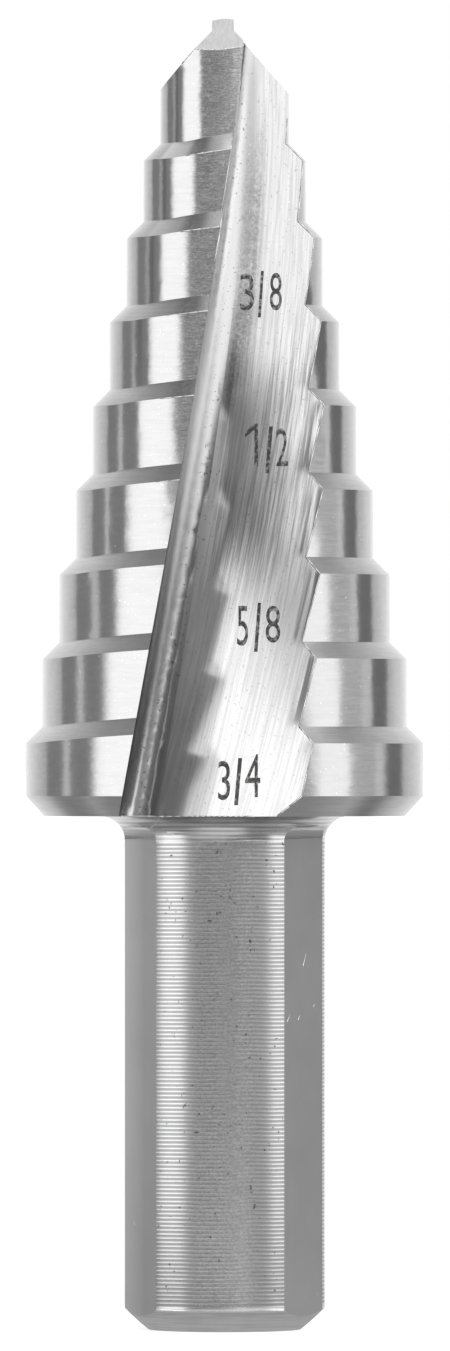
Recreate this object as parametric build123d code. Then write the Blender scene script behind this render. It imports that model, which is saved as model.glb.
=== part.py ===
from build123d import *
from math import asin, cos, degrees, radians, sin, tan
import os

# Step drill of nine sizes with two spiral flutes, ground from one bar of tool steel.
# Millimetres. The origin is the centre of the shank end, and +Z runs to the point.
# An azimuth of 0 faces -Y, and it grows towards +X. Angles are in degrees.

# Shank, which runs from its end up to the skirt of the cone
SHANK_DIAMETER = 9.525
SHANK_LENGTH = 24.4
SHANK_FLATS = 3
SHANK_FLAT_DEPTH = 0.3
SHANK_FLAT_AZIMUTH = 56.7
FLAT_END_GAP = 0.4
FLAT_RUNOUT_RADIUS = 0.78
END_CHAMFER_WIDTH = 1.15
END_CHAMFER_ANGLE = 42.0
END_CHAMFER_CROWN = 0.03
NECK_RADIUS = 1.19

# Stepped cone, with lengths and diameters taken at the cutting edge
STEP_COUNT = 9
FIRST_DIAMETER = 6.35
DIAMETER_GROWTH = 1.5875
FIRST_STEP_LENGTH = 5.57
STEP_PITCH = 4.0
SECOND_STEP_SHORTFALL = 0.3
LAST_STEP_LENGTH = 3.84
SHOULDER_ANGLE = 45.0
SKIRT_CHAMFER_WIDTH = 0.88
SKIRT_CHAMFER_HEIGHT = 0.96

# Relief ground behind each cutting edge
RADIAL_RELIEF_RATE = 0.0013
AXIAL_RELIEF = 0.40
AXIAL_RELIEF_SPAN = 44.0
LAND_SPAN = 137.0
LEAD_IN_SPAN = 10.0

# Flutes, each value given at four even stations between places near the point and the skirt
FLUTE_COUNT = 2
TOP_STATION_DEPTH = 0.3
BOTTOM_STATION_RISE = 1.0
CORE_HALF_THICKNESS = (0.5, 2.1, 3.88, 5.65)
FLOOR_AZIMUTH = (17.0, -3.0, -20.5, -30.0)
RAKE_OFFSET = (0.73, -0.82, -2.72, -4.81)
RAKE_AZIMUTH = (6.0, 3.0, 1.0, 0.0)
FLUTE_CORNER_RADIUS = 1.15
FLUTE_REACH = 16.0

# Split point
FLANK_SLOPE = 27.5
FLANK_AZIMUTH = -12.5
THINNING_SLOPE = 28.5
THINNING_AZIMUTH = -45.0
THINNING_START = 0.15
CHISEL_HALF_WIDTH = 0.52
CHISEL_SHIFT = 0.08
GASH_SLOPE = 48.5
CHISEL_HEIGHT = 0.64
GASH_RADIUS = 0.8
GASH_REACH = 6.0

# Construction
SECTION_STEP = 10.0
SEAM_AZIMUTH = 17.0
CORE_OVERLAP = 0.25
FLUTE_SECTIONS = 12
STOCK_OVER_POINT = 0.5
CUTTER_OVERRUN = 1.2
QUARTER_ARC_HANDLE = 0.5523

SHANK_RADIUS = SHANK_DIAMETER / 2
STEP_RISE = DIAMETER_GROWTH / 2
SHOULDER_LENGTH = STEP_RISE * tan(radians(SHOULDER_ANGLE))
SECOND_STEP_TOP = SHANK_LENGTH + LAST_STEP_LENGTH + STEP_PITCH * (STEP_COUNT - 2) - SECOND_STEP_SHORTFALL
POINT_HEIGHT = SECOND_STEP_TOP + SHOULDER_LENGTH + FIRST_STEP_LENGTH
STOCK_TOP = POINT_HEIGHT + STOCK_OVER_POINT
LAND_TURN = 360.0 / FLUTE_COUNT
SOCKET_RADIUS = CORE_HALF_THICKNESS[0] - CORE_OVERLAP / 2


def along_flute(stations, height):
    """A cubic curve through four values spaced evenly from the point to the skirt."""
    top = POINT_HEIGHT - TOP_STATION_DEPTH
    bottom = SHANK_LENGTH + BOTTOM_STATION_RISE
    place = (len(stations) - 1) * (top - height) / (top - bottom)
    total = 0.0
    for index, value in enumerate(stations):
        weight = 1.0
        for other in range(len(stations)):
            if other != index:
                weight *= (place - other) / (index - other)
        total += value * weight
    return total


def direction(azimuth):
    """The level unit vector that points towards an azimuth."""
    return Vector(sin(radians(azimuth)), -cos(radians(azimuth)), 0)


def at(azimuth, radius, height):
    """The point at a radius and a height in the half-plane of an azimuth."""
    return direction(azimuth) * radius + Vector(0, 0, height)


def edge_azimuth(radius, height):
    """Where the cutting edge lies on a step of this radius."""
    offset = along_flute(RAKE_OFFSET, height)
    return along_flute(RAKE_AZIMUTH, height) + degrees(asin(offset / radius))


def angle_behind_edge(azimuth, radius, height):
    """How far a place lies behind a cutting edge, or ahead of it where the result is negative."""
    behind = (edge_azimuth(radius, height) - azimuth + LEAD_IN_SPAN) % LAND_TURN
    return behind - LEAD_IN_SPAN


def drop(behind, rate, span):
    """A drop that grows from the edge over a span, and is taken back where the flute cuts it away."""
    grown = rate * min(behind, span)
    if behind <= LAND_SPAN:
        return grown
    taken_back = (behind - LAND_SPAN) / (LAND_TURN - LEAD_IN_SPAN - LAND_SPAN)
    return grown - taken_back * (grown + rate * LEAD_IN_SPAN)


def radial_relief(behind):
    """The loss of a land's radius, which grows all the way to its heel."""
    return drop(behind, RADIAL_RELIEF_RATE, LAND_SPAN)


def axial_relief(behind):
    """The fall of a land's shoulders, complete a short way behind the edge."""
    return drop(behind, AXIAL_RELIEF / AXIAL_RELIEF_SPAN, AXIAL_RELIEF_SPAN)


def step_radius(number):
    """The radius of a step, with step 1 next to the point."""
    return FIRST_DIAMETER / 2 + STEP_RISE * (number - 1)


def step_top(number):
    """The height of the top of a step's wall."""
    if number == 2:
        return SECOND_STEP_TOP
    return SHANK_LENGTH + LAST_STEP_LENGTH + STEP_PITCH * (STEP_COUNT - number)


def land_section(azimuth):
    """The stepped outline in one half-plane, shifted in and down by the relief there."""

    def relieved(radius, height, sinks=True):
        behind = angle_behind_edge(azimuth, radius, height)
        fall = axial_relief(behind) if sinks else 0.0
        return at(azimuth, radius - radial_relief(behind), height - fall)

    last = step_radius(STEP_COUNT)
    corners = [
        at(azimuth, SOCKET_RADIUS, SHANK_LENGTH),
        relieved(last - SKIRT_CHAMFER_WIDTH, SHANK_LENGTH, False),
        relieved(last, SHANK_LENGTH + SKIRT_CHAMFER_HEIGHT, False),
    ]
    for number in range(STEP_COUNT, 1, -1):
        corners.append(relieved(step_radius(number), step_top(number)))
        corners.append(relieved(step_radius(number - 1), step_top(number) + SHOULDER_LENGTH))
    corners.append(relieved(step_radius(1), STOCK_TOP, False))
    corners.append(at(azimuth, SOCKET_RADIUS, STOCK_TOP))
    return Face(Wire.make_polygon(corners))


def stepped_cone():
    """Both relieved lands before fluting, joined along their seams by the core."""
    count = round(LAND_TURN / SECTION_STEP)
    sections = [land_section(SEAM_AZIMUTH - LAND_TURN * index / count) for index in range(count + 1)]
    land = loft(sections)
    core = Pos(0, 0, SHANK_LENGTH) * Cylinder(
        SOCKET_RADIUS + CORE_OVERLAP,
        STOCK_TOP - SHANK_LENGTH,
        align=(Align.CENTER, Align.CENTER, Align.MIN),
    )
    cone = core
    for number in range(FLUTE_COUNT):
        cone += Rot(0, 0, LAND_TURN * number) * land
    return cone


def shank():
    """The round shank with its crowned end chamfer, and the neck that flares into the skirt."""
    end_radius = SHANK_RADIUS - END_CHAMFER_WIDTH
    chamfer_height = END_CHAMFER_WIDTH * tan(radians(END_CHAMFER_ANGLE))
    crown = 2 * END_CHAMFER_CROWN
    flare = SHANK_RADIUS + NECK_RADIUS
    neck_start = SHANK_LENGTH - NECK_RADIUS
    handle = NECK_RADIUS * QUARTER_ARC_HANDLE
    inside = SHANK_LENGTH + SKIRT_CHAMFER_HEIGHT
    core = step_radius(STEP_COUNT) - 2 * SKIRT_CHAMFER_WIDTH
    with BuildSketch(Plane.XZ) as outline:
        with BuildLine():
            Polyline((0, inside), (0, 0), (end_radius, 0))
            Bezier(
                (end_radius, 0),
                (
                    (end_radius + SHANK_RADIUS) / 2 + crown * sin(radians(END_CHAMFER_ANGLE)),
                    chamfer_height / 2 - crown * cos(radians(END_CHAMFER_ANGLE)),
                ),
                (SHANK_RADIUS, chamfer_height),
            )
            Line((SHANK_RADIUS, chamfer_height), (SHANK_RADIUS, neck_start))
            Bezier(
                (SHANK_RADIUS, neck_start),
                (SHANK_RADIUS, neck_start + handle),
                (flare - handle, SHANK_LENGTH),
                (flare, SHANK_LENGTH),
            )
            Polyline(
                (flare, SHANK_LENGTH),
                (core, SHANK_LENGTH),
                (core, inside),
                (0, inside),
            )
        make_face()
    return revolve(outline.sketch, Axis.Z)


def flat_cutter(number):
    """The slab that grinds one shank flat, with the wheel's radius at its upper end."""
    azimuth = SHANK_FLAT_AZIMUTH + number * 360 / SHANK_FLATS
    face = SHANK_RADIUS - SHANK_FLAT_DEPTH
    slab = Pos(face, 0, -CUTTER_OVERRUN) * Box(
        SHANK_RADIUS,
        SHANK_DIAMETER,
        SHANK_LENGTH - FLAT_END_GAP + CUTTER_OVERRUN,
        align=(Align.MIN, Align.CENTER, Align.MIN),
    )
    upper_edges = slab.edges().filter_by(Axis.Y).sort_by(Axis.Z)[-2:]
    slab = fillet(upper_edges.sort_by(Axis.X)[0], FLAT_RUNOUT_RADIUS)
    return Rot(0, 0, azimuth - 90) * slab


def flute_section(height):
    """The flute across the axis: rake wall, corner radius and floor, open outwards."""
    floor = direction(along_flute(FLOOR_AZIMUTH, height))
    along_floor = Vector(-floor.Y, floor.X, 0)
    rake = direction(along_flute(RAKE_AZIMUTH, height))
    across_rake = Vector(-rake.Y, rake.X, 0)
    depth = along_flute(CORE_HALF_THICKNESS, height)
    offset = along_flute(RAKE_OFFSET, height)
    # The corner lies at depth along the floor's normal and at offset from the rake's line.
    turn = across_rake.X * floor.Y - across_rake.Y * floor.X
    corner = Vector(
        (offset * floor.Y - depth * across_rake.Y) / turn,
        (depth * across_rake.X - offset * floor.X) / turn,
        0,
    )
    middle = corner + Vector(0, 0, height)
    # The corner's arc starts at its seat on each wall and is drawn by a curve of the same ends and pull.
    opening = along_floor.get_angle(rake)
    seat = FLUTE_CORNER_RADIUS / tan(radians(opening / 2))
    pull = FLUTE_CORNER_RADIUS * 4 / 3 * tan(radians((180 - opening) / 4))
    with BuildLine() as outline:
        Bezier(
            middle + rake * seat,
            middle + rake * (seat - pull),
            middle + along_floor * (seat - pull),
            middle + along_floor * seat,
        )
        Polyline(
            middle + along_floor * seat,
            middle + along_floor * FLUTE_REACH,
            middle + (along_floor + rake) * FLUTE_REACH,
            middle + rake * FLUTE_REACH,
            middle + rake * seat,
        )
    return Face(Wire(outline.edges()))


def flute_cutter():
    """One spiral flute, from past the point to just below the skirt."""
    top = STOCK_TOP + CUTTER_OVERRUN
    bottom = SHANK_LENGTH - CUTTER_OVERRUN
    step = (top - bottom) / (FLUTE_SECTIONS - 1)
    return loft([flute_section(bottom + step * index) for index in range(FLUTE_SECTIONS)])


def gash_cutter():
    """The notch that thins the web to the chisel and slopes down to the first step."""
    top = STOCK_TOP + CUTTER_OVERRUN
    root_height = POINT_HEIGHT - CHISEL_HEIGHT
    fall = (GASH_REACH - CHISEL_HALF_WIDTH) * tan(radians(GASH_SLOPE))
    with BuildSketch(Plane.XZ) as outline:
        with BuildLine():
            Polyline(
                (-CHISEL_HALF_WIDTH, top),
                (-CHISEL_HALF_WIDTH, root_height),
                (-GASH_REACH, root_height - fall),
                (-GASH_REACH, top),
                close=True,
            )
        make_face()
        root = outline.vertices().sort_by_distance((-CHISEL_HALF_WIDTH, 0, root_height))[0]
        fillet(root, GASH_RADIUS)
    return extrude(outline.sketch, GASH_REACH, both=True)


def ground_plane(number, azimuth, slope, start):
    """A flat ground behind one lip, falling from a place on the chisel edge."""
    turn = LAND_TURN * number
    along_chisel = direction(FLANK_AZIMUTH - 90 + turn)
    lean = direction(azimuth + turn) * sin(radians(slope))
    return Plane(
        origin=along_chisel * start + Vector(0, 0, POINT_HEIGHT),
        z_dir=lean + Vector(0, 0, cos(radians(slope))),
    )


def step_drill():
    """The finished drill as one solid."""
    drill = stepped_cone() + shank()
    flute = flute_cutter()
    gash = gash_cutter()
    for number in range(FLUTE_COUNT):
        drill -= Rot(0, 0, LAND_TURN * number) * flute
        drill -= Pos(-CHISEL_SHIFT, 0, 0) * Rot(0, 0, LAND_TURN * number) * gash
        flank = ground_plane(number, FLANK_AZIMUTH, FLANK_SLOPE, 0.0)
        thinning = ground_plane(number, THINNING_AZIMUTH, THINNING_SLOPE, THINNING_START)
        for plane in (flank, thinning):
            drill = split(drill, bisect_by=plane, keep=Keep.BOTTOM)
    for number in range(SHANK_FLATS):
        drill -= flat_cutter(number)
    return drill


def main():
    os.makedirs("parts", exist_ok=True)
    drill = step_drill()
    solid = drill.solids()[0]
    solid.label = "step_drill"
    export_step(solid, "parts/step_drill.step")
    print("step_drill", round(solid.volume, 2), "mm3")


main()
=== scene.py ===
from math import atan2, cos, hypot, pi, radians, sin, tan, tau

import bmesh
import bpy
from bpy.props import FloatProperty, FloatVectorProperty, IntProperty, PointerProperty
from mathutils import Matrix, Vector, noise
from mathutils.bvhtree import BVHTree


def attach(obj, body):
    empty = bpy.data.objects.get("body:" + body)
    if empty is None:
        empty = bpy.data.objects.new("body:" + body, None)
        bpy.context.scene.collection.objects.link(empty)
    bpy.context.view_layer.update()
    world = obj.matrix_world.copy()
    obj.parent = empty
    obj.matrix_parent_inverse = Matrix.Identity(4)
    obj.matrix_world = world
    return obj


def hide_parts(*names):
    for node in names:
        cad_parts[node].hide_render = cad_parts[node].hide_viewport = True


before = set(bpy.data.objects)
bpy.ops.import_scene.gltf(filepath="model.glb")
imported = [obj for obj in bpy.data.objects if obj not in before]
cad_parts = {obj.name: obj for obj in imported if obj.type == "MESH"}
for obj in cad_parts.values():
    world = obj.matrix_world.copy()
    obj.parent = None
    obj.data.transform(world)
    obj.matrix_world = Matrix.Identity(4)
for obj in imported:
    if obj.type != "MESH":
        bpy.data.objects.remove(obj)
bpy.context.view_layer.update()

bl_info = {
    "name": "Step drill",
    "version": (1, 0, 0),
    "blender": (4, 5, 0),
    "location": "3D View > Sidebar > Step drill",
    "description": "Dresses the packed solid of a step drill in turned and ground steel",
    "category": "Object",
}

# The frame is in metres, with the origin at the middle of the shank's end and +Z up to the point.
# An azimuth of 0 faces -Y, where the camera stands, and it grows towards +X.
MM = 0.001
NODE = "step_drill"
EXACT_NORMAL = "exact_normal"
MERGE_DISTANCE = 1e-7
SHARP_ANGLE = radians(12)
# A closing face has at least so many corners, and stays flat
CAP_CORNERS = 10
# The duller rake faces, which carry painted shade: how squarely they face sideways, and how high they reach
RAKE_FACING = 0.93
RAKE_TOP = 50.0 * MM

# What most lengths that a user can change have in common
LENGTH = {"unit": "LENGTH", "subtype": "DISTANCE", "precision": 5}

# Zones of the drill's surface, in the order of their material slots
LAND, SHOULDER, FLUTE, POINT, NECK, FLAT, RAKE = range(7)
# Finishes of the turned shank, in the order of its own slots
ROUND, CHUCK_FLAT, CHAMFER = range(3)


def direction(azimuth):
    """The level unit vector that points towards an azimuth in radians."""
    return Vector((sin(azimuth), -cos(azimuth), 0))


class DrillSizes(bpy.types.PropertyGroup):
    """Sizes of the drill that its looks follow."""

    shank_diameter: FloatProperty(
        name="Shank diameter", description="Across the round parts of the shank",
        default=9.525 * MM, **LENGTH)
    skirt_height: FloatProperty(
        name="Skirt height", description="From the shank end to the underside of the cone",
        default=24.4 * MM, **LENGTH)
    last_radius: FloatProperty(
        name="Last radius", description="Radius of the widest step at its cutting edge",
        default=9.525 * MM, **LENGTH)
    last_step_top: FloatProperty(
        name="Last step top", description="Height of the top of the widest step's wall",
        default=28.24 * MM, **LENGTH)
    step_pitch: FloatProperty(
        name="Step pitch", description="Height from one step to the next",
        default=4.0 * MM, **LENGTH)
    step_rise: FloatProperty(
        name="Step rise", description="Change of radius from one step to the next",
        default=0.79375 * MM, **LENGTH)
    flat_depth: FloatProperty(
        name="Flat depth", description="How deep the chuck flats are cut into the shank",
        default=0.3 * MM, **LENGTH)
    flat_azimuth: FloatProperty(
        name="Flat azimuth", description="Where the first of the three chuck flats faces",
        default=radians(56.7), unit="ROTATION", subtype="ANGLE")
    flat_count: IntProperty(
        name="Flats", description="Number of chuck flats, evenly spaced", default=3, min=1)
    chamfer_width: FloatProperty(
        name="Chamfer width", description="Width of the shank's end chamfer",
        default=1.15 * MM, **LENGTH)
    chamfer_angle: FloatProperty(
        name="Chamfer angle", description="Slope of the shank's end chamfer",
        default=radians(42), unit="ROTATION", subtype="ANGLE")
    chamfer_crown: FloatProperty(
        name="Chamfer crown", description="How far the end chamfer swells past a straight line",
        default=0.03 * MM, **LENGTH)


class TurningMarks(bpy.types.PropertyGroup):
    """The fine spiral that the turning tool left on the shank."""

    pitch: FloatProperty(
        name="Pitch", description="Feed of the turning tool for each turn",
        default=0.1927 * MM, unit="LENGTH", subtype="DISTANCE", precision=6)
    depth: FloatProperty(
        name="Depth", description="Depth of the scallop between two ridges",
        default=0.004 * MM, unit="LENGTH", subtype="DISTANCE", precision=6)
    start: FloatProperty(
        name="Start", description="Height of the lowest ridge",
        default=1.2 * MM, **LENGTH)
    end_gap: FloatProperty(
        name="End gap", description="Plain band between the spiral and the joint with the neck",
        default=0.12 * MM, **LENGTH)
    joint_height: FloatProperty(
        name="Joint height", description="Where the turned shank meets the neck",
        default=23.2 * MM, **LENGTH)
    segments: IntProperty(
        name="Segments", description="Number of facets round the shank", default=144, min=24)


class SteelFinish(bpy.types.PropertyGroup):
    """Colours and roughness of the bare steel."""

    etched: FloatVectorProperty(
        name="Etched", description="Colour of the etched size marks", size=3,
        default=(0.09, 0.09, 0.088), subtype="COLOR", min=0, max=1)
    land_roughness: FloatProperty(
        name="Land roughness", description="Roughness of the ground step walls",
        default=0.2, subtype="FACTOR", min=0, max=1)
    land_grain: FloatProperty(
        name="Land grain", description="How much rougher the walls are along the drill than round it",
        default=0.8, subtype="FACTOR", min=0, max=1)
    flute_roughness: FloatProperty(
        name="Flute roughness", description="Roughness of the ground flutes",
        default=0.15, subtype="FACTOR", min=0, max=1)
    shank_roughness: FloatProperty(
        name="Shank roughness", description="Roughness of the turned shank",
        default=0.22, subtype="FACTOR", min=0, max=1)
    flat_roughness: FloatProperty(
        name="Flat roughness", description="Roughness of the chuck flats",
        default=0.34, subtype="FACTOR", min=0, max=1)


class StudioSizes(bpy.types.PropertyGroup):
    """Where the camera stands, and how large the floor is."""

    camera_distance: FloatProperty(
        name="Camera distance", description="From the drill's axis to the camera",
        default=646.7 * MM, unit="LENGTH", subtype="DISTANCE", precision=4)
    camera_height: FloatProperty(
        name="Camera height", description="Height of the level camera above the floor",
        default=27.06 * MM, **LENGTH)
    pixels_per_mm: FloatProperty(
        name="Pixels per millimetre", description="Scale of the picture at the drill's axis",
        default=21.03, min=1)
    axis_column: FloatProperty(
        name="Axis column", description="Pixel column of the drill's axis in the picture", default=224.6)
    horizon_row: FloatProperty(
        name="Horizon row", description="Pixel row of the camera's own height in the picture", default=760.0)
    floor_size: FloatProperty(
        name="Floor size", description="Side of the square floor",
        default=60.0, unit="LENGTH", subtype="DISTANCE")


PICTURE_WIDTH = 450
PICTURE_HEIGHT = 1351


def operator_pair(operation):
    """The plain and the reflected form of one of Python's operators, which add a Math node."""
    def plain(wire, other):
        return wire.graph.math(operation, wire, other)

    def reflected(wire, other):
        return wire.graph.math(operation, other, wire)

    return plain, reflected


class Wire:
    """The output of a shader node. Python's operators on it add Math nodes."""

    __add__, __radd__ = operator_pair("ADD")
    __sub__, __rsub__ = operator_pair("SUBTRACT")
    __mul__, __rmul__ = operator_pair("MULTIPLY")
    __truediv__, __rtruediv__ = operator_pair("DIVIDE")

    def __init__(self, graph, socket):
        self.graph = graph
        self.socket = socket

    def math(self, operation, *others):
        """A Math node on this number and others."""
        return self.graph.math(operation, self, *others)

    def __neg__(self):
        return self.math("MULTIPLY", -1.0)

    def __abs__(self):
        return self.math("ABSOLUTE")

    def clamped(self):
        """The same number held between 0 and 1."""
        return self.graph.node("ShaderNodeClamp", {}, {"Value": self})

    def step_up(self, middle, width):
        """A soft step from 0 to 1 about a value."""
        limits = {"Value": self, "From Min": middle - width / 2, "From Max": middle + width / 2}
        return self.graph.node("ShaderNodeMapRange", {"interpolation_type": "SMOOTHSTEP"}, limits)

    def within(self, low, high, width):
        """1 between two values and 0 outside them, with soft edges."""
        return self.step_up(low, width) * (1 - self.step_up(high, width))


class Graph:
    """A material's or the world's node tree, cleared and ready to fill."""

    def __init__(self, owner):
        owner.use_nodes = True
        self.owner = owner
        self.tree = owner.node_tree
        self.tree.nodes.clear()

    def node(self, kind, settings, values, output=0):
        """Adds a node: its settings first, then the values or links of its sockets."""
        made = self.tree.nodes.new(kind)
        for name, value in settings.items():
            setattr(made, name, value)
        for name, value in values.items():
            if isinstance(value, Wire):
                self.tree.links.new(value.socket, made.inputs[name])
            else:
                made.inputs[name].default_value = value
        return Wire(self, made.outputs[output]) if len(made.outputs) else None

    def math(self, operation, *values):
        """A Math node on any numbers."""
        return self.node("ShaderNodeMath", {"operation": operation}, dict(enumerate(values)))

    def split(self, vector):
        """The three numbers of a vector."""
        made = self.tree.nodes.new("ShaderNodeSeparateXYZ")
        self.tree.links.new(vector.socket, made.inputs[0])
        return [Wire(self, output) for output in made.outputs]

    def join(self, x, y, z):
        """A vector from three numbers."""
        return self.node("ShaderNodeCombineXYZ", {}, {"X": x, "Y": y, "Z": z})

    def noise(self, vector, scale, detail=2.0, roughness=0.5):
        """Soft noise between 0 and 1."""
        values = {"Vector": vector, "Scale": scale, "Detail": detail, "Roughness": roughness}
        return self.node("ShaderNodeTexNoise", {}, values)

    def mix(self, factor, first, second):
        """A colour between two colours."""
        values = {"Factor": factor, 6: first, 7: second}
        return self.node("ShaderNodeMix", {"data_type": "RGBA"}, values, 2)

    def bump(self, height, distance, strength=1.0, normal=None):
        """A normal tilted by a height field, given in the share of a distance."""
        values = {"Height": height, "Distance": distance, "Strength": strength}
        if normal is not None:
            values["Normal"] = normal
        return self.node("ShaderNodeBump", {}, values)


def grey(level):
    """A neutral colour with an alpha of one."""
    return (level, level, level, 1)


def as_mesh(shape, name):
    """Makes a mesh of a bmesh, and frees the bmesh."""
    mesh = bpy.data.meshes.new(name)
    shape.to_mesh(mesh)
    shape.free()
    return mesh


def add_object(name, data):
    """Adds an object of a mesh, a text or a camera to the scene."""
    made = bpy.data.objects.new(name, data)
    bpy.context.scene.collection.objects.link(made)
    return made


def finish_piece(shape, name, materials):
    """Makes a piece of a bmesh with the given materials, which rides on the drill."""
    mesh = as_mesh(shape, name)
    for material in materials:
        mesh.materials.append(material)
    piece = add_object(name, mesh)
    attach(piece, "root")
    return piece


# Materials

# A quarter turn of the tangent draws the highlights out along the drill
ALONG_THE_DRILL = 0.25
# Feed of the tool that turned the neck, in millimetres for each turn
NECK_FEED = 0.19
# Height in millimetres about which the finish of the lower steps gives way to that of the upper ones
UPPER_STEPS = 41.0
# The line of the flute's rounded corner in millimetres: its height where it lies so far to the left,
# how it leans to the right further up, and how it bends back
CORNER_HEIGHT = 33.96
CORNER_LEFT = 2.03
CORNER_LEAN = 0.205
CORNER_BEND = 0.00383


def steel_shader(graph, colour, roughness, normal, grain=0.0, turn=ALONG_THE_DRILL):
    """Closes a steel finish with its shader and returns the material. Grain stretches the highlights."""
    values = {
        "Base Color": colour, "Roughness": roughness, "Metallic": 1.0,
        "Anisotropic": grain, "Anisotropic Rotation": turn,
    }
    if normal is not None:
        values["Normal"] = normal
    surface = graph.node("ShaderNodeBsdfPrincipled", {}, values)
    graph.node("ShaderNodeOutputMaterial", {}, {"Surface": surface})
    return graph.owner


def object_position(graph):
    """Object coordinates in millimetres, as a vector and its three numbers."""
    coordinates = graph.node("ShaderNodeTexCoord", {}, {}, "Object")
    scaled = graph.node("ShaderNodeVectorMath", {"operation": "SCALE"}, {0: coordinates, "Scale": 1 / MM})
    return scaled, graph.split(scaled)


def half_azimuth(graph, x, y):
    """The azimuth of a place in radians, counted from the front on the front and from behind on the back."""
    return graph.math("ARCTAN2", graph.math("SIGN", -y) * x, abs(y))


def land_material(settings):
    """Ground step walls: fine lines round the drill, bright specks, and a chattered patch up high."""
    graph = Graph(bpy.data.materials.new("ground_land"))
    position, (x, y, z) = object_position(graph)
    lines = graph.noise(graph.join(x * 0.8, y * 0.8, z * 6), 1.0, 4.0, 0.6)
    waves = graph.noise(graph.join(x * 0.9, y * 0.9, z * 2.2), 1.0, 2.0, 0.5)
    cloud = graph.noise(position, 0.8, 3.0, 0.6)
    specks = graph.noise(position, 9.0, 2.0, 0.5).step_up(0.72, 0.05)
    chatter = graph.noise(graph.join(x * 3.5, y * 3.5, z * 13.0), 1.0, 4.0, 0.8).step_up(0.5, 0.35)
    azimuth = half_azimuth(graph, x, y)
    patch = azimuth.within(-0.36, 0.7, 0.22) * z.step_up(UPPER_STEPS, 8.0)
    colour = graph.mix(cloud, grey(0.57), grey(0.63))
    colour = graph.mix(lines.step_up(0.5, 0.5) * 0.25, colour, grey(0.45))
    colour = graph.mix(patch * 0.5, colour, graph.mix(chatter, grey(0.34), grey(1.0)))
    shaded = azimuth.within(-0.93, -0.79, 0.06) * z.step_up(45.0, 6.0)
    colour = graph.mix(shaded, colour, grey(0.4))
    curls = graph.noise(graph.join(x, y, z * 0.8), 8.0, 2.0, 0.6).step_up(0.64, 0.06) * patch
    colour = graph.mix((specks + curls).clamped() * 0.8, colour, grey(0.95))
    roughness = settings.land_roughness + (cloud - 0.5) * 0.08
    normal = graph.bump(waves, 0.008 * MM)
    normal = graph.bump(lines, 0.005 * MM, 1.0, normal)
    return steel_shader(graph, colour, roughness, normal, settings.land_grain)


def shoulder_material():
    """Shoulders between the steps, with turning lines round the drill, a darker blotchy patch and painted
    highlights on the upper steps.
    """
    graph = Graph(bpy.data.materials.new("ground_shoulder"))
    position, (x, y, z) = object_position(graph)
    rings = graph.noise(graph.join(x * 0.5, y * 0.5, z * 9), 1.0, 3.0, 0.6)
    cloud = graph.noise(position, 1.2, 3.0, 0.6)
    mottling = graph.noise(position, 5.0, 3.0, 0.7).step_up(0.45, 0.4)
    azimuth = half_azimuth(graph, x, y)
    high = z.step_up(UPPER_STEPS, 8.0)
    # A darker, blotchy patch on the front left of the upper shoulders
    dark = azimuth.within(-0.44, -0.22, 0.14) * high * mottling
    # Painted highlights on the upper shoulders, at the front and further left
    bright = azimuth.within(-0.2, 0.6, 0.16) * high
    bright = bright + azimuth.within(-0.9, -0.47, 0.12) * z.step_up(53.0, 8.0)
    colour = graph.mix(cloud, grey(0.54), grey(0.64))
    colour = graph.mix(rings.step_up(0.5, 0.4) * 0.3, colour, grey(0.42))
    colour = graph.mix(dark * 0.5, colour, grey(0.25))
    colour = graph.mix(bright * 0.85, colour, grey(1.0))
    normal = graph.bump(rings, 0.005 * MM)
    return steel_shader(graph, colour, 0.24, normal, 0.5)


def across_flute(graph, x, y, z):
    """How far a place lies across its flute from the rounded corner, in millimetres."""
    rise = z - CORNER_HEIGHT
    corner = rise * CORNER_LEAN - rise * rise * CORNER_BEND - CORNER_LEFT
    return graph.math("SIGN", -y) * x - corner


def steps_above(z, sizes):
    """How many steps a height lies above the top of the widest one, with its share of a step."""
    return (z - sizes.last_step_top / MM) / (sizes.step_pitch / MM)


def depth_inside(graph, x, y, z, sizes):
    """How far a place lies inside the wall of the step at its height, in millimetres."""
    steps_up = graph.math("CEIL", steps_above(z, sizes)).math("MAXIMUM", 0.0)
    wall_radius = sizes.last_radius / MM - steps_up * (sizes.step_rise / MM)
    return wall_radius - graph.math("SQRT", x * x + y * y)


def rake_shade(graph, x, y, z, sizes):
    """How bright the duller wall under a cutting edge is, as painted shade that is darker lower down. It has
    a painted highlight for a bright rim on the widest steps.
    """
    lines = graph.noise(graph.join(x * 5, y * 5, z * 0.3), 1.0, 2.0, 0.6)
    rim = ((34.5 - z) / 8.0).clamped() * 1.05 - 0.1 - depth_inside(graph, x, y, z, sizes)
    # Painted shade: darker lower down
    high = ((z - 27.0) / 16.0).clamped()
    shade = 0.14 + lines * 0.12 + high * 0.16 + high * high * 0.18
    # Painted highlight: the bright rim on the widest steps
    return shade + rim.step_up(0.0, 0.5) * (0.9 - shade)


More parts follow.
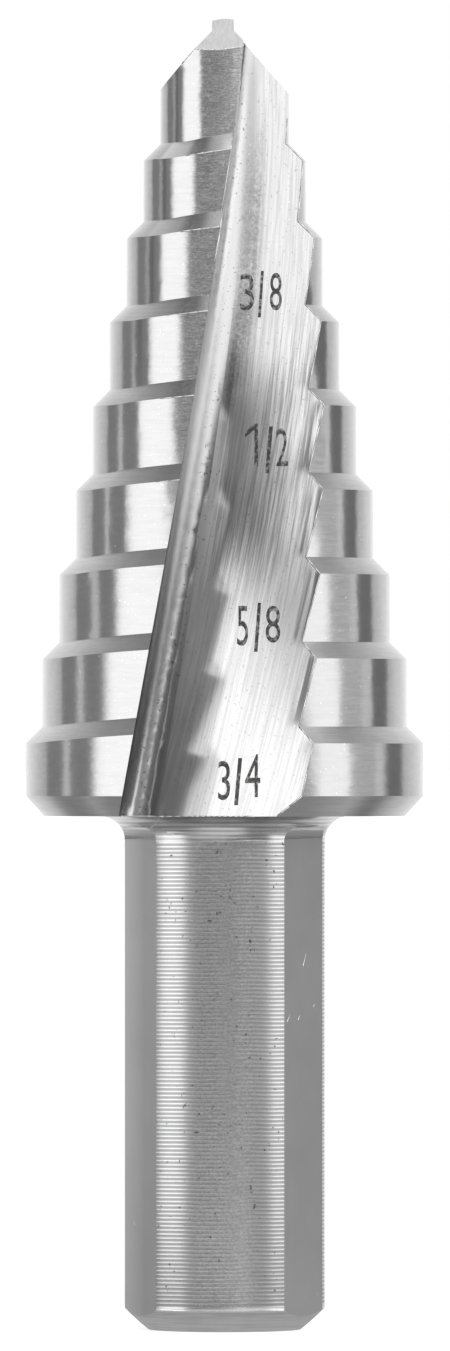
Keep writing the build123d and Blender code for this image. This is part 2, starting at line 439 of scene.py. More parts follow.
def painted_corner_shade_and_highlight(graph, colour, position, across, z, tint):
    """Paints shade into a blotchy band beside the rounded corner and into its upper end, and paints a
    highlight on the place below.
    """
    blotch = graph.noise(position, 6.0, 3.0, 0.7)
    # Painted shade in a blotchy band beside the rounded corner
    corner_shade = across.within(0.35, 1.3, 0.6) * z.within(42.5, 56.0, 6.0)
    colour = graph.mix(corner_shade * (0.35 + blotch.step_up(0.5, 0.45) * 0.5), colour, grey(0.16))
    # Painted highlight on the place below the band
    painted_highlight = across.within(0.7, 2.2, 0.5) * z.within(39.5, 46.0, 4.0)
    colour = graph.mix(painted_highlight * (0.3 + tint * 0.8), colour, grey(0.95))
    # Painted shade along the upper end of the corner
    upper_corner_shade = across.within(0.35, 0.85, 0.35) * z.within(51.0, 60.5, 3.0)
    return graph.mix(upper_corner_shade * (0.2 + tint * 0.6), colour, grey(0.3))


def heel_streaks(graph, x, y, z, across, lines, sizes):
    """The dark streaks along the edge where the flute meets the back of a land."""
    near_wall = 1 - depth_inside(graph, x, y, z, sizes).step_up(0.6, 0.5)
    on_wall = graph.math("FRACT", steps_above(z, sizes)).within(0.12, 0.94, 0.14)
    far_side = across.step_up(2.2, 0.8) * z.within(28.0, 46.0, 4.0)
    return near_wall * on_wall * far_side * lines.step_up(0.46, 0.2)


def flute_material(settings, sizes):
    """Flutes with grinding lines that run along them, painted shade beside the rounded corner with a painted
    highlight below it, and a duller wall with painted shade.
    """
    graph = Graph(bpy.data.materials.new("ground_flute"))
    position, (x, y, z) = object_position(graph)
    across = across_flute(graph, x, y, z)
    along = graph.join(across, y * 0.1, z * 0.02)
    lines = graph.noise(along, 5.5, 2.0, 0.5)
    tint = graph.noise(along, 9.0, 3.0, 0.7)
    broad = graph.noise(graph.join(across, y * 0.1, z * 0.03), 1.7, 1.0, 0.5)
    pits = graph.noise(position, 7.0, 2.0, 0.5).step_up(0.67, 0.05)
    specks = graph.noise(position, 8.0, 2.0, 0.5).step_up(0.745, 0.04)
    streaky = (0.35 + z.within(36.0, 47.0, 6.0) * 0.65) * across.step_up(0.5, 0.6)
    colour = graph.mix(streaky, grey(0.62), graph.mix(tint.step_up(0.5, 0.3), grey(0.42), grey(0.82)))
    colour = painted_corner_shade_and_highlight(graph, colour, position, across, z, tint)
    colour = graph.mix(heel_streaks(graph, x, y, z, across, lines, sizes) * 0.9, colour, grey(0.15))
    colour = graph.mix(pits * (0.35 + across.within(-0.7, 0.6, 0.3) * 0.5), colour, grey(0.22))
    colour = graph.mix(specks * 0.8, colour, grey(0.9))
    dull_and_shaded = rake_shade(graph, x, y, z, sizes)
    # Painted shade: the rounded corner takes on the duller wall's painted shade
    wall = (1 - across.step_up(-0.35, 0.7)) * (1 - z.step_up(RAKE_TOP / MM, 6.0))
    colour = graph.mix(wall, colour, graph.join(dull_and_shaded, dull_and_shaded, dull_and_shaded))
    normal = graph.bump(broad * streaky, 0.008 * MM)
    normal = graph.bump(lines * streaky, 0.004 * MM, 1.0, normal)
    return steel_shader(graph, colour, settings.flute_roughness + wall * 0.15, normal, 0.3, 0.0)


def rake_material(sizes):
    """The duller walls of the flutes under the cutting edges, with painted shade and a painted highlight
    rim.
    """
    graph = Graph(bpy.data.materials.new("dull_rake_painted_shade"))
    x, y, z = object_position(graph)[1]
    shade = rake_shade(graph, x, y, z, sizes)
    return steel_shader(graph, graph.join(shade, shade, shade), 0.3, None)


def point_material():
    """The ground flanks and gashes of the point."""
    graph = Graph(bpy.data.materials.new("ground_point"))
    x, y, z = object_position(graph)[1]
    lines = graph.noise(graph.join(x * 4, y * 0.4, z * 0.4), 3.0, 3.0, 0.6)
    colour = graph.mix(lines.step_up(0.5, 0.5), grey(0.62), grey(0.76))
    normal = graph.bump(lines, 0.01 * MM)
    return steel_shader(graph, colour, 0.3, normal)


def neck_material():
    """The turned neck, its underside and the shank's end, which has a painted highlight that makes it a
    little brighter.
    """
    graph = Graph(bpy.data.materials.new("turned_neck"))
    position, (x, y, z) = object_position(graph)
    rings = graph.noise(graph.join(x * 0.3, y * 0.3, z * 7), 1.0, 3.0, 0.6)
    cloud = graph.noise(position, 0.9, 3.0, 0.6)
    ripple = graph.math("SINE", z * (tau / NECK_FEED)) * z.within(20.0, 24.25, 0.1)
    # Painted highlight: brighter towards the shank's end, with a bright line along the chamfer's upper rim
    chamfer = (1.6 - z).clamped() * 0.32 + z.within(0.97, 1.1, 0.05) * 0.45
    shade = 0.42 + cloud * 0.16 + rings.step_up(0.5, 0.3) * 0.12 + ripple * 0.13 + chamfer
    normal = graph.bump(rings, 0.014 * MM)
    normal = graph.bump(ripple * 0.5 + 0.5, 0.006 * MM, 1.0, normal)
    return steel_shader(graph, graph.join(shade, shade, shade), 0.24, normal, 0.4)


def flat_material(settings):
    """The satin chuck flats, with painted light that makes them a little brighter towards the left."""
    graph = Graph(bpy.data.materials.new("satin_flat"))
    position, (x, y, z) = object_position(graph)
    cloud = graph.noise(position, 0.35, 3.0, 0.6)
    grain = graph.noise(graph.join(x, y, z * 0.4), 12.0, 2.0, 0.6)
    # Painted light: brighter towards the left
    shade = 0.58 + (cloud - 0.5) * 0.12 + (-3.8 - x).clamped() * 0.26 + (0.2 - x).clamped() * 0.03
    colour = graph.join(shade, shade, shade)
    roughness = settings.flat_roughness + (grain - 0.5) * 0.1
    normal = graph.bump(grain, 0.003 * MM)
    return steel_shader(graph, colour, roughness, normal)


def shank_material(settings, marks, seam_azimuth):
    """The turned round of the shank: painted shade in the hollows between the ridges of the spiral."""
    graph = Graph(bpy.data.materials.new("turned_shank"))
    position, (x, y, z) = object_position(graph)
    turn = (graph.math("ARCTAN2", x, -y) - seam_azimuth) / tau
    feed = (z - marks.start / MM) / (marks.pitch / MM)
    phase = graph.math("FRACT", feed - turn + 0.5) * 2 - 1
    hollow = 1 - phase * phase
    worn = graph.noise(position, 1.1, 4.0, 0.6)
    bands = graph.noise(graph.join(x * 0.2, y * 0.2, z), 5.5, 2.0, 0.6)
    ridge = graph.mix(bands, grey(0.62), grey(0.8))
    # Painted shade in the hollows of the spiral
    valley_shade = graph.mix(worn, grey(0.34), grey(0.46))
    colour = graph.mix(hollow.step_up(0.55, 0.8), ridge, valley_shade)
    speckle = graph.noise(graph.join(x, y, z * 1.4), 9.0, 2.0, 0.6)
    centre = graph.math("ARCTAN2", x, -y).within(-0.33, 0.33, 0.2)
    colour = graph.mix(centre * 0.6, colour, graph.mix(speckle.step_up(0.5, 0.4), grey(0.36), grey(0.68)))
    pits = graph.noise(position, 4.5, 2.0, 0.5).step_up(0.71, 0.03)
    colour = graph.mix(pits, colour, grey(0.14))
    roughness = settings.shank_roughness + hollow * 0.12
    normal = graph.bump(worn, 0.008 * MM)
    return steel_shader(graph, colour, roughness, normal)


def etched_material(settings):
    """The etched size marks, uneven as an etching is."""
    graph = Graph(bpy.data.materials.new("etched_mark"))
    position = object_position(graph)[0]
    blotches = graph.noise(position, 5.0, 3.0, 0.6).step_up(0.56, 0.2)
    colour = graph.mix(blotches, (*settings.etched, 1), grey(0.36))
    return steel_shader(graph, colour, 0.45, graph.bump(blotches, 0.01 * MM))


def bright_material(name):
    """Bare white steel: a painted highlight on the burrs, and the bare steel of the scratches."""
    return steel_shader(Graph(bpy.data.materials.new(name)), grey(1.0), 0.42, None)


def drill_materials(settings, sizes):
    """One material for each zone, in the zones' order."""
    return [
        land_material(settings),
        shoulder_material(),
        flute_material(settings, sizes),
        point_material(),
        neck_material(),
        flat_material(settings),
        rake_material(sizes),
    ]


# The fluted cone

# A face this close to a height or a flat lies on it
ON_HEIGHT = 0.02 * MM
ON_FLAT = 0.01 * MM
# The end where a flat runs out stands this proud of it at most, and leans down
FLAT_RUNOUT = 0.6 * MM
RUNOUT_LEAN = -0.3
FLAT_FACING = 0.8
# Walls and shoulders lie at most this share of a step's rise inside the cutting edge
WALL_DEPTH = 0.6
# How a face's normal leans on each zone: its upward part, and the part that faces away from the axis
WALL_LEAN = 0.1
WALL_FACING = 0.93
SHOULDER_LEAN = (0.6, 0.8)
SHOULDER_FACING = 0.6
UNDERSIDE_LEAN = -0.4
UNDERSIDE_FACING = 0.5
POINT_LEAN = 0.5
# The widest step is so many times as wide as the narrowest, which carries the point
WIDEST_TO_NARROWEST = 3


def exact_copy(node):
    """The solid's triangles merged into one mesh, with the true normals kept on the corners."""
    shape = bmesh.new()
    shape.from_mesh(node.data)
    exact = shape.loops.layers.float_vector.new(EXACT_NORMAL)
    normals = [corner.vector.copy() for corner in node.data.corner_normals]
    place = 0
    for face in shape.faces:
        for loop in face.loops:
            loop[exact] = normals[place]
            place += 1
    bmesh.ops.remove_doubles(shape, verts=shape.verts, dist=MERGE_DISTANCE)
    return shape, exact


def cut_closed(shape, place, normal, **cleared):
    """Cuts a shape through with a plane, clears one side of it and returns the faces that close the cut."""
    cut = bmesh.ops.bisect_plane(
        shape, geom=[*shape.verts, *shape.edges, *shape.faces], plane_co=place, plane_no=normal, **cleared
    )["geom_cut"]
    rim = [edge for edge in cut if isinstance(edge, bmesh.types.BMEdge)]
    return bmesh.ops.edgeloop_fill(shape, edges=rim)["faces"]


def cut_square(shape, exact, height):
    """Cuts the shape off square at a height and keeps what is above."""
    for face in cut_closed(shape, (0, 0, height), (0, 0, 1), clear_inner=True):
        for loop in face.loops:
            loop[exact] = face.normal if face.normal.z < 0 else -face.normal


def flat_direction(number, sizes):
    """The way a chuck flat faces."""
    return direction(sizes.flat_azimuth + number * tau / sizes.flat_count)


def half_side(place):
    """1 on the front half of the drill, and -1 on the back half, which is the front turned half round."""
    return -1 if place.y > 0 else 1


def on_flat(face, centre, sizes):
    """Whether a face of the neck belongs to a chuck flat, or to the end where it runs out."""
    if face.normal.z >= WALL_LEAN:
        return False
    for number in range(sizes.flat_count):
        normal = flat_direction(number, sizes)
        proud = centre.dot(normal) - (sizes.shank_diameter / 2 - sizes.flat_depth)
        if face.normal.dot(normal) > FLAT_FACING and proud < FLAT_RUNOUT:
            if abs(proud) < ON_FLAT or face.normal.z < RUNOUT_LEAN:
                return True
    return False


def zone_of(face, sizes):
    """Which zone of the drill a face belongs to, from its place and the way it faces."""
    centre = face.calc_center_median()
    radius = hypot(centre.x, centre.y)
    outward = Vector((centre.x, centre.y, 0)).normalized()
    facing_out = face.normal.dot(outward)
    up = face.normal.z
    steps_up = (centre.z - sizes.last_step_top) / sizes.step_pitch
    land_radius = sizes.last_radius - sizes.step_rise * (steps_up + 1 if steps_up > -1 else 0)
    outer = radius > land_radius - sizes.step_rise * WALL_DEPTH
    if centre.z < sizes.skirt_height + ON_HEIGHT:
        return FLAT if on_flat(face, centre, sizes) else NECK
    if up < UNDERSIDE_LEAN:
        return SHOULDER if facing_out > UNDERSIDE_FACING else NECK
    if outer and abs(up) < WALL_LEAN and facing_out > WALL_FACING:
        return LAND
    if outer and SHOULDER_LEAN[0] < abs(up) < SHOULDER_LEAN[1] and facing_out > SHOULDER_FACING:
        return SHOULDER
    if up > POINT_LEAN and radius < sizes.last_radius / WIDEST_TO_NARROWEST:
        return POINT
    dull_and_shaded = face.normal.x * half_side(centre) > RAKE_FACING and centre.z < RAKE_TOP
    return RAKE if dull_and_shaded else FLUTE


class STEPDRILL_OT_fluted_cone(bpy.types.Operator):
    """Finish the stepped cone with its flutes, point and neck"""

    bl_idname = "step_drill.fluted_cone"
    bl_label = "Fluted cone"

    def execute(self, context):
        sizes = context.scene.drill_sizes
        marks = context.scene.turning_marks
        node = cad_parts[NODE]
        shape, exact = exact_copy(node)
        cut_square(shape, exact, marks.joint_height)
        shape.normal_update()
        for face in shape.faces:
            face.smooth = True
            face.material_index = zone_of(face, sizes)
        materials = drill_materials(context.scene.steel_finish, sizes)
        piece = finish_piece(shape, "fluted_cone", materials)
        stored = piece.data.attributes[EXACT_NORMAL]
        normals = [Vector(corner.vector).normalized() for corner in stored.data]
        piece.data.normals_split_custom_set(normals)
        piece.data.attributes.remove(stored)
        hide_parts(NODE)
        return {"FINISHED"}


# The burrs

# A burr is a thin rod, sunk a little into its edge, that grows and shrinks over its length
BURR_THICKNESS = 0.042 * MM
BURR_SINK = 0.014 * MM
BURR_LENGTH = 0.6 * MM
# Its usual and least thickness as shares of the greatest
BURR_USUAL = 0.8
BURR_LEAST = 0.65
# Shoulders have burrs only above the lowest height and within some azimuths, and the flutes' sides only
# below the highest
BURR_LOWEST = 40.0 * MM
BURR_HIGHEST = 57.2 * MM
BURR_AZIMUTHS = (-0.5, 0.6)


def add_rod(shape, start, end, outward, thickness):
    """A three-sided rod between two places, each with its own thickness."""
    across = (end - start).cross(outward).normalized()
    rings = []
    for place, size in zip((start, end), thickness):
        offsets = (outward * size, across * size, -across * size)
        rings.append([shape.verts.new(place + offset) for offset in offsets])
    for number in range(3):
        after = (number + 1) % 3
        shape.faces.new((rings[0][number], rings[0][after], rings[1][after], rings[1][number]))
    shape.faces.new(rings[0])
    shape.faces.new(rings[1][::-1])


def is_burred(edge, zones):
    """Whether an edge lies round the point, between a flute and a wall, a shoulder or the neck,
    or below a shoulder close to its cutting edge."""
    if len(edge.link_faces) != 2 or edge.calc_face_angle(0) < SHARP_ANGLE * 2:
        return False
    pair = {zones[face.index] for face in edge.link_faces}
    middle = (edge.verts[0].co + edge.verts[1].co) / 2
    if middle.z > BURR_HIGHEST and POINT not in pair:
        return False
    if pair == {LAND, SHOULDER}:
        azimuth = atan2(middle.x * half_side(middle), abs(middle.y))
        near = BURR_AZIMUTHS[0] < azimuth < BURR_AZIMUTHS[1]
        return edge.is_convex and near and middle.z > BURR_LOWEST
    if pair == {FLUTE, NECK}:
        return edge.is_convex
    return bool(pair & {LAND, SHOULDER} and pair & {FLUTE, POINT})


def burr_thickness(place):
    """The burr comes and goes along an edge."""
    share = noise.fractal(place / BURR_LENGTH, 1.0, 2.0, 3)
    return BURR_THICKNESS * min(1.0, max(BURR_LEAST, BURR_USUAL + share))


class STEPDRILL_OT_burrs(bpy.types.Operator):
    """Leave thin burrs along the edges of the flutes, white with a painted highlight"""

    bl_idname = "step_drill.burrs"
    bl_label = "Burrs"

    def execute(self, context):
        sizes = context.scene.drill_sizes
        shape = exact_copy(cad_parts[NODE])[0]
        shape.normal_update()
        zones = [zone_of(face, sizes) for face in shape.faces]
        shape.faces.index_update()
        burrs = bmesh.new()
        for edge in shape.edges:
            if not is_burred(edge, zones):
                continue
            outward = (edge.link_faces[0].normal + edge.link_faces[1].normal).normalized()
            start, end = (vert.co - outward * BURR_SINK for vert in edge.verts)
            add_rod(burrs, start, end, outward, (burr_thickness(start), burr_thickness(end)))
        shape.free()
        bmesh.ops.recalc_face_normals(burrs, faces=burrs.faces)
        for face in burrs.faces:
            face.smooth = True
        # The burrs' white steel is a painted highlight along the edges
        finish_piece(burrs, "burrs", [bright_material("burr_painted_highlight")])
        return {"FINISHED"}


# The turned shank


def chamfer_profile(sizes, count=6):
    """The crowned end chamfer, as radius and height from the end face outwards."""
    radius = sizes.shank_diameter / 2
    inner = radius - sizes.chamfer_width
    rise = sizes.chamfer_width * tan(sizes.chamfer_angle)
    crown = 2 * sizes.chamfer_crown
    middle = Vector(((inner + radius) / 2 + crown * sin(sizes.chamfer_angle),
                     rise / 2 - crown * cos(sizes.chamfer_angle)))
    first = Vector((inner, 0))
    last = Vector((radius, rise))
    points = []
    for index in range(count + 1):
        share = index / count
        points.append(first * (1 - share) ** 2 + middle * 2 * share * (1 - share) + last * share ** 2)
    return points


def scallop_profile(sizes, marks, steps=4):
    """The hollows between the ridges, as radius and height from the lowest ridge up."""
    radius = sizes.shank_diameter / 2
    count = int((marks.joint_height - marks.end_gap - marks.start) / marks.pitch)
    points = []
    for index in range(count * steps + 1):
        share = index % steps / steps
        hollow = marks.depth * (1 - (2 * share - 1) ** 2)
        points.append(Vector((radius - hollow, marks.start + index * marks.pitch / steps)))
    return points


def spun(profile, segments):
    """A closed solid of revolution about Z."""
    shape = bmesh.new()
    verts = [shape.verts.new((point[0], 0, point[1])) for point in profile]
    edges = [shape.edges.new(pair) for pair in zip(verts, verts[1:])]
    bmesh.ops.spin(
        shape, geom=[*verts, *edges], axis=(0, 0, 1), cent=(0, 0, 0),
        angle=tau, steps=segments, use_merge=True,
    )
    bmesh.ops.remove_doubles(shape, verts=shape.verts, dist=MERGE_DISTANCE / 10)
    bmesh.ops.recalc_face_normals(shape, faces=shape.faces)
    return shape


def wind(shape, marks, seam_azimuth):
    """Turns the rings into a spiral by lifting them round the shank from a seam."""
    top = marks.joint_height - marks.end_gap
    for vert in shape.verts:
        if marks.start - marks.pitch / 8 < vert.co.z < top:
            azimuth = atan2(vert.co.x, -vert.co.y)
            turn = ((azimuth - seam_azimuth) / tau) % 1.0
            vert.co.z += marks.pitch * (turn - 0.5)


def grind_flats(shape, sizes):
    """Cuts the chuck flats into the shank and closes them."""
    distance = sizes.shank_diameter / 2 - sizes.flat_depth
    for number in range(sizes.flat_count):
        normal = flat_direction(number, sizes)
        for face in cut_closed(shape, normal * distance, normal, clear_outer=True):
            face.material_index = CHUCK_FLAT


class STEPDRILL_OT_turned_shank(bpy.types.Operator):
    """Turn the shank with its fine spiral, end chamfer and chuck flats"""

    bl_idname = "step_drill.turned_shank"
    bl_label = "Turned shank"

    def execute(self, context):
        sizes = context.scene.drill_sizes
        marks = context.scene.turning_marks
        settings = context.scene.steel_finish
        radius = sizes.shank_diameter / 2
        profile = [
            Vector((0, 0)),
            *chamfer_profile(sizes),
            *scallop_profile(sizes, marks),
            Vector((radius, marks.joint_height)),
            Vector((0, marks.joint_height)),
        ]
        shape = spun(profile, marks.segments)
        # The seam lies in the middle of the back flat, where the grinding takes it away
        seam_azimuth = sizes.flat_azimuth + (sizes.flat_count - 2) * tau / sizes.flat_count
        wind(shape, marks, seam_azimuth)
        for face in shape.faces:
            face.material_index = ROUND if face.calc_center_median().z > marks.start else CHAMFER
        grind_flats(shape, sizes)
        bmesh.ops.recalc_face_normals(shape, faces=shape.faces)
        for face in shape.faces:
            face.smooth = len(face.verts) < CAP_CORNERS
        for edge in shape.edges:
            edge.smooth = edge.calc_face_angle(pi) < SHARP_ANGLE
        round_steel = shank_material(settings, marks, seam_azimuth)
        materials = [round_steel, flat_material(settings), neck_material()]
        piece = finish_piece(shape, "turned_shank_round", materials)
        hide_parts(NODE)
        return {"FINISHED"}


# The etched size marks

# Each sign with the left, right, top and bottom of the place it fills in the picture
SIZE_SIGNS = (
    ("3", 240, 254, 272, 309), ("/", 258, 264, 269, 316), ("8", 270, 282, 271, 309),
    ("1", 245, 258, 423, 466), ("/", 265, 273, 426, 473), ("2", 276, 288, 428, 466),
    ("5", 237, 248, 606, 646), ("/", 254, 261, 603, 652), ("8", 265.5, 280, 606, 643),
    ("3", 218, 230, 761, 800), ("/", 234, 242, 758, 805), ("4", 245, 260, 754, 797),
)
SIGN_DEPTH = 4.5 * MM
SIGN_SINK = 0.03 * MM
SIGN_PROUD = 0.006 * MM
SIGN_SLICES_ACROSS = 3
SIGN_SLICES_UP = 16
# Distance in front of the axis from which the signs are cast onto the flute
CAST_FROM = 50.0 * MM
# Outlines of the plain strokes, in shares of the place they fill
STROKES = {
    "1": ((0.73, 0), (1, 0), (1, 1), (0.73, 1), (0, 0.8), (0, 0.68), (0.73, 0.86)),
    "/": ((0, 0), (0.48, 0), (1, 1), (0.52, 1)),
}


def picture_to_place(column, row, studio, depth):
    """The x and z of a picture's pixel on an upright plane in front of the axis."""
    nearness = studio.camera_distance / (studio.camera_distance - depth)
    scale = studio.pixels_per_mm * nearness / MM
    x = (column - studio.axis_column) / scale
    z = studio.camera_height - (row - studio.horizon_row) / scale
    return x, z


def filled_square(shape):
    """Slices a sign, scales it to fill a unit square and returns it as a mesh."""
    bmesh.ops.triangulate(shape, faces=shape.faces)
    lows = [min(vert.co[axis] for vert in shape.verts) for axis in (0, 2)]
    highs = [max(vert.co[axis] for vert in shape.verts) for axis in (0, 2)]
    for vert in shape.verts:
        vert.co.x = (vert.co.x - lows[0]) / (highs[0] - lows[0])
        vert.co.z = (vert.co.z - lows[1]) / (highs[1] - lows[1])
    for axis, count in ((0, SIGN_SLICES_ACROSS), (2, SIGN_SLICES_UP)):
        normal = Vector((axis == 0, 0, axis == 2))
        for number in range(1, count):
            bmesh.ops.bisect_plane(
                shape, geom=[*shape.verts, *shape.edges, *shape.faces],
                plane_co=normal * (number / count), plane_no=normal,
            )
    return as_mesh(shape, "sign")


def sign_mesh(sign):
    """One sign as a thin flat mesh that fills a unit square, facing -Y."""
    curve = bpy.data.curves.new("sign", "FONT")
    curve.body = sign
    curve.extrude = 1.0
    curve.resolution_u = 6
    holder = add_object("sign", curve)
    bpy.context.view_layer.update()
    mesh = bpy.data.meshes.new_from_object(holder)
    bpy.data.objects.remove(holder)
    mesh.transform(Matrix.Rotation(pi / 2, 4, "X"))
    shape = bmesh.new()
    shape.from_mesh(mesh)
    bpy.data.meshes.remove(mesh)
    bmesh.ops.remove_doubles(shape, verts=shape.verts, dist=1e-5)
    return filled_square(shape)


def stroked(outline):
    """A sign drawn as one flat outline, made a thin solid."""
    shape = bmesh.new()
    front = shape.faces.new([shape.verts.new((x, -1, z)) for x, z in outline])
    back = bmesh.ops.extrude_face_region(shape, geom=[front])["geom"]
    moved = [item for item in back if isinstance(item, bmesh.types.BMVert)]
    bmesh.ops.translate(shape, verts=moved, vec=(0, 2, 0))
    return filled_square(shape)


class STEPDRILL_OT_size_marks(bpy.types.Operator):
    """Lay the etched size marks on the floor of the flute"""

    bl_idname = "step_drill.size_marks"
    bl_label = "Size marks"

    def execute(self, context):
        studio = context.scene.studio_sizes
        cone = bpy.data.objects["fluted_cone"]
        tree = BVHTree.FromObject(cone, context.evaluated_depsgraph_get())
        shape = bmesh.new()
        for sign, left, right, top, bottom in SIZE_SIGNS:
            start = len(shape.verts)
            mesh = stroked(STROKES[sign]) if sign in STROKES else sign_mesh(sign)
            shape.from_mesh(mesh)
            bpy.data.meshes.remove(mesh)
            shape.verts.ensure_lookup_table()
            low_x, high_z = picture_to_place(left, top, studio, SIGN_DEPTH)
            high_x, low_z = picture_to_place(right, bottom, studio, SIGN_DEPTH)
            for vert in shape.verts[start:]:
                layer = SIGN_SINK if vert.co.y > 0 else -SIGN_PROUD
                x = low_x + vert.co.x * (high_x - low_x)
                z = low_z + vert.co.z * (high_z - low_z)
                hit = tree.ray_cast(Vector((x, -CAST_FROM, z)), Vector((0, 1, 0)))[0]
                vert.co = Vector((x, hit.y + layer, z))
        bmesh.ops.remove_doubles(shape, verts=shape.verts, dist=MERGE_DISTANCE)
        bmesh.ops.recalc_face_normals(shape, faces=shape.faces)
        finish_piece(shape, "size_marks", [etched_material(context.scene.steel_finish)])
        return {"FINISHED"}


# The scratches

# Small scratches on the shank and neck, as pixel columns and rows of their two ends
SCRATCHES = (
    (303.0, 966.0, 306.5, 952.0),
    (287.0, 1022.0, 290.5, 1014.0),
    (298.0, 1020.0, 300.5, 1014.0),
    (313.0, 1007.0, 316.0, 1003.0),
    (150.0, 829.0, 163.0, 814.0),
    (167.0, 812.0, 172.0, 820.0),
    (317.0, 1292.0, 318.0, 1297.0),
    (134.0, 1222.0, 135.0, 1226.0),
)
SCRATCH_THICKNESS = 0.036 * MM


class STEPDRILL_OT_scratches(bpy.types.Operator):
    """Leave a few small bright scratches on the shank and the neck"""

    bl_idname = "step_drill.scratches"
    bl_label = "Scratches"

    def execute(self, context):
        studio = context.scene.studio_sizes
        eye = Vector((0, -studio.camera_distance, studio.camera_height))
        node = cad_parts[NODE]
        surface = BVHTree.FromPolygons(
            [vert.co for vert in node.data.vertices], [tuple(face.vertices) for face in node.data.polygons])
        shape = bmesh.new()
        for left, low, right, high in SCRATCHES:
            ends = []
            for column, row in ((left, low), (right, high)):
                x, z = picture_to_place(column, row, studio, 0)
                ends.append(surface.ray_cast(eye, (Vector((x, 0, z)) - eye).normalized()))
            outward = (ends[0][1] + ends[1][1]).normalized()
            start, end = (hit[0] - outward * SCRATCH_THICKNESS / 2 for hit in ends)
            add_rod(shape, start, end, outward, (SCRATCH_THICKNESS, SCRATCH_THICKNESS / 2))
        bmesh.ops.recalc_face_normals(shape, faces=shape.faces)
        finish_piece(shape, "scratches", [bright_material("bright_scratch")])
        return {"FINISHED"}


# The stage

# Cards of the studio as the drill sees them: two azimuths and two elevations in degrees,
# the brightness of the card, and the softness of its edges in degrees. An azimuth past 180 degrees
# leaves a card without an edge there.
CARDS = {
    "left flag": (-126, -82, -60, 50, 0.3, 3),
    "left flag below": (-136, -124, -60, -3, 0.3, 4),
    "left strip": (-108, -101, -60, 45, 0.8, 3),
    "high flag": (-128, -104, 57, 72, 0.3, 6),
    "high light": (104, 120, 57, 90, 1.1, 8),
    "ceiling": (-220, 220, 80, 110, 1.1, 8),
    "high backdrop on the left": (-200, -160, 42, 72, 0.98, 6),
    "high backdrop on the right": (160, 200, 42, 72, 0.98, 6),
    "left softbox": (-81, -46, -30, 23, 1.65, 9),
    "ground on the left": (-45, 4, -60, 2, 0.58, 6),
    "ground on the right": (4, 51, -60, 2, 0.34, 6),
    "lit ground": (-30, 26, -62, -20, 0.85, 14),
    "right softbox": (54, 78, -30, 22, 1.5, 8),
    "right wall": (80, 100, -60, 4, 0.5, 3),
    "right strip": (98, 107, -60, 4, 0.8, 3),
    "right flag": (107, 126, -60, 50, 0.22, 3),
}
# The brightness of the white backdrop falls off with the angle from straight behind the drill.
BACKDROP_LEVEL = 0.95
BACKDROP_FLOOR = 0.1
ROOM_LEVEL = 0.38
# The large light above and in front, whose lower edge slopes down to the right past the camera
CANOPY_LEVEL = 1.38
CANOPY_DARK = 0.14
CANOPY_EDGE = 14.0
CANOPY_SLOPE = -0.53
CANOPY_SOFTNESS = 8.0
CANOPY_LOWEST = 5.0
CANOPY_HIGHEST = 27.0
CANOPY_TOP = 62.0
CANOPY_FOOT = 2.0
CANOPY_LEFT = -50.0
CANOPY_RIGHT = 110.0
CANOPY_BLUR = 6.0
# The floor: its grey, its glow to the camera and the height from which the drill's gloss sees it
FLOOR_GREY = 0.62
FLOOR_GLOW = 0.72
FLOOR_EYE_HEIGHT = 27.0 * MM


def studio_level(azimuth, elevation, back):
    """How bright the studio is in a direction: two angles in degrees and the part of it that points back."""
    level = (BACKDROP_FLOOR + back * BACKDROP_LEVEL).math("MAXIMUM", ROOM_LEVEL)
    edge = CANOPY_EDGE + azimuth * CANOPY_SLOPE
    edge = edge.math("MAXIMUM", CANOPY_LOWEST).math("MINIMUM", CANOPY_HIGHEST)
    lit = ((elevation - edge) / CANOPY_SOFTNESS + 0.5).clamped()
    canopy = CANOPY_DARK + lit * (CANOPY_LEVEL - CANOPY_DARK)
    inside = azimuth.within(CANOPY_LEFT, CANOPY_RIGHT, CANOPY_BLUR)
    inside = inside * elevation.within(CANOPY_FOOT, CANOPY_TOP, CANOPY_BLUR)
    level = level + (canopy - level) * inside
    for left, right, low, high, brightness, softness in CARDS.values():
        inside = azimuth.within(left, right, softness) * elevation.within(low, high, softness)
        level = level + (brightness - level) * inside
    return level


def studio_world():
    """A white backdrop, with the lights and flags of a small studio round the drill."""
    world = bpy.data.worlds.new("studio")
    bpy.context.scene.world = world
    graph = Graph(world)
    x, y, z = graph.split(graph.node("ShaderNodeTexCoord", {}, {}, "Generated"))
    azimuth = graph.math("ARCTAN2", x, -y) * (180 / pi)
    elevation = graph.math("ARCSINE", z) * (180 / pi)
    level = studio_level(azimuth, elevation, y)
    seen = graph.node("ShaderNodeLightPath", {}, {}, "Is Camera Ray")
    level = level + (1.0 - level) * seen
    colour = graph.join(level, level, level)
    light = graph.node("ShaderNodeBackground", {}, {"Color": colour, "Strength": 1.0})
    graph.node("ShaderNodeOutputWorld", {}, {"Surface": light})


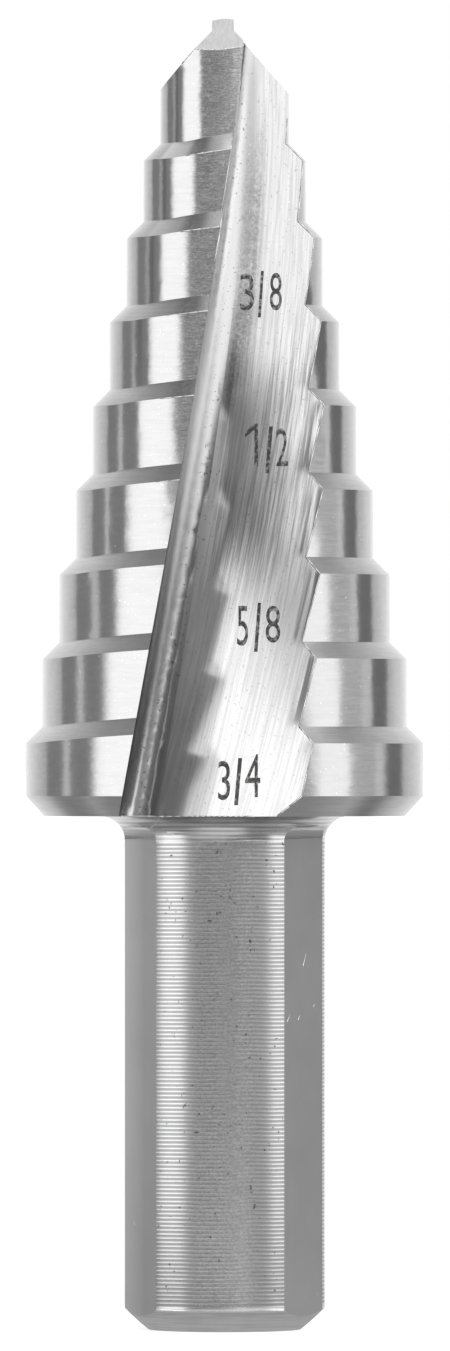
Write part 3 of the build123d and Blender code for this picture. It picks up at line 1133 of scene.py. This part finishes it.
def floor_material():
    """A pale floor that looks white past the drill's soft shadow and carries the studio into the gloss."""
    graph = Graph(bpy.data.materials.new("pale_floor"))
    x, y = graph.split(graph.node("ShaderNodeTexCoord", {}, {}, "Object"))[:2]
    reach = graph.math("SQRT", x * x + y * y)
    azimuth = graph.math("ARCTAN2", x, -y) * (180 / pi)
    elevation = graph.math("ARCTAN2", -FLOOR_EYE_HEIGHT, reach) * (180 / pi)
    back = y / graph.math("SQRT", reach * reach + FLOOR_EYE_HEIGHT ** 2)
    level = studio_level(azimuth, elevation, back)
    camera = graph.node("ShaderNodeLightPath", {}, {}, "Is Camera Ray")
    glossy = graph.node("ShaderNodeLightPath", {}, {}, "Is Glossy Ray")
    through = graph.node("ShaderNodeLightPath", {}, {}, "Is Transmission Ray")
    seen = (camera + through).clamped() * FLOOR_GLOW
    matte = graph.node("ShaderNodeBsdfDiffuse", {}, {"Color": grey(FLOOR_GREY)})
    glow = graph.node("ShaderNodeEmission", {}, {"Color": grey(1.0), "Strength": seen})
    both = graph.node("ShaderNodeAddShader", {}, {0: matte, 1: glow})
    mirrored = graph.node("ShaderNodeEmission", {}, {"Color": grey(1.0), "Strength": level})
    surface = graph.node("ShaderNodeMixShader", {}, {0: glossy, 1: both, 2: mirrored})
    graph.node("ShaderNodeOutputMaterial", {}, {"Surface": surface})
    return graph.owner


def add_floor(studio):
    """Lays the floor under the drill."""
    shape = bmesh.new()
    bmesh.ops.create_grid(shape, x_segments=1, y_segments=1, size=studio.floor_size / 2)
    mesh = as_mesh(shape, "floor")
    mesh.materials.append(floor_material())
    floor = add_object("floor", mesh)


def add_camera(studio):
    """Sets the level camera in front of the drill, shifted to the picture's framing."""
    camera = bpy.data.cameras.new("camera")
    holder = add_object("camera", camera)
    holder.location = (0, -studio.camera_distance, studio.camera_height)
    holder.rotation_euler = (pi / 2, 0, 0)
    focal_pixels = studio.camera_distance / MM * studio.pixels_per_mm
    camera.lens = camera.sensor_width * focal_pixels / PICTURE_HEIGHT
    camera.shift_x = (PICTURE_WIDTH / 2 - studio.axis_column) / PICTURE_HEIGHT
    camera.shift_y = (studio.horizon_row - PICTURE_HEIGHT / 2) / PICTURE_HEIGHT
    camera.clip_start = 50 * MM
    camera.clip_end = 100.0
    bpy.context.scene.camera = holder


class STEPDRILL_OT_stage(bpy.types.Operator):
    """Set up the floor, the studio's light and the camera"""

    bl_idname = "step_drill.stage"
    bl_label = "Stage"

    def execute(self, context):
        add_floor(context.scene.studio_sizes)
        add_camera(context.scene.studio_sizes)
        studio_world()
        context.scene.view_settings.view_transform = "Standard"
        return {"FINISHED"}


class STEPDRILL_PT_panel(bpy.types.Panel):
    """The drill's pieces and settings in the sidebar"""

    bl_idname = "STEPDRILL_PT_panel"
    bl_label = "Step drill"
    bl_space_type = "VIEW_3D"
    bl_region_type = "UI"
    bl_category = "Step drill"

    def draw(self, context):
        for kind in OPERATORS:
            self.layout.operator(kind.bl_idname)
        for name in GROUPS:
            box = self.layout.box()
            group = getattr(context.scene, name)
            for key in group.__annotations__:
                box.prop(group, key)


GROUPS = {
    "drill_sizes": DrillSizes,
    "turning_marks": TurningMarks,
    "steel_finish": SteelFinish,
    "studio_sizes": StudioSizes,
}
OPERATORS = (
    STEPDRILL_OT_fluted_cone,
    STEPDRILL_OT_burrs,
    STEPDRILL_OT_turned_shank,
    STEPDRILL_OT_size_marks,
    STEPDRILL_OT_scratches,
    STEPDRILL_OT_stage,
)


def register():
    for name, group in GROUPS.items():
        bpy.utils.register_class(group)
        setattr(bpy.types.Scene, name, PointerProperty(type=group))
    for kind in (*OPERATORS, STEPDRILL_PT_panel):
        bpy.utils.register_class(kind)


def unregister():
    for kind in (STEPDRILL_PT_panel, *reversed(OPERATORS)):
        bpy.utils.unregister_class(kind)
    for name, group in GROUPS.items():
        delattr(bpy.types.Scene, name)
        bpy.utils.unregister_class(group)


def main():
    """Makes the pieces and the stage."""
    register()
    bpy.ops.step_drill.fluted_cone()
    bpy.ops.step_drill.burrs()
    bpy.ops.step_drill.turned_shank()
    bpy.ops.step_drill.size_marks()
    bpy.ops.step_drill.scratches()
    bpy.ops.step_drill.stage()


if __name__ == "__main__":
    main()
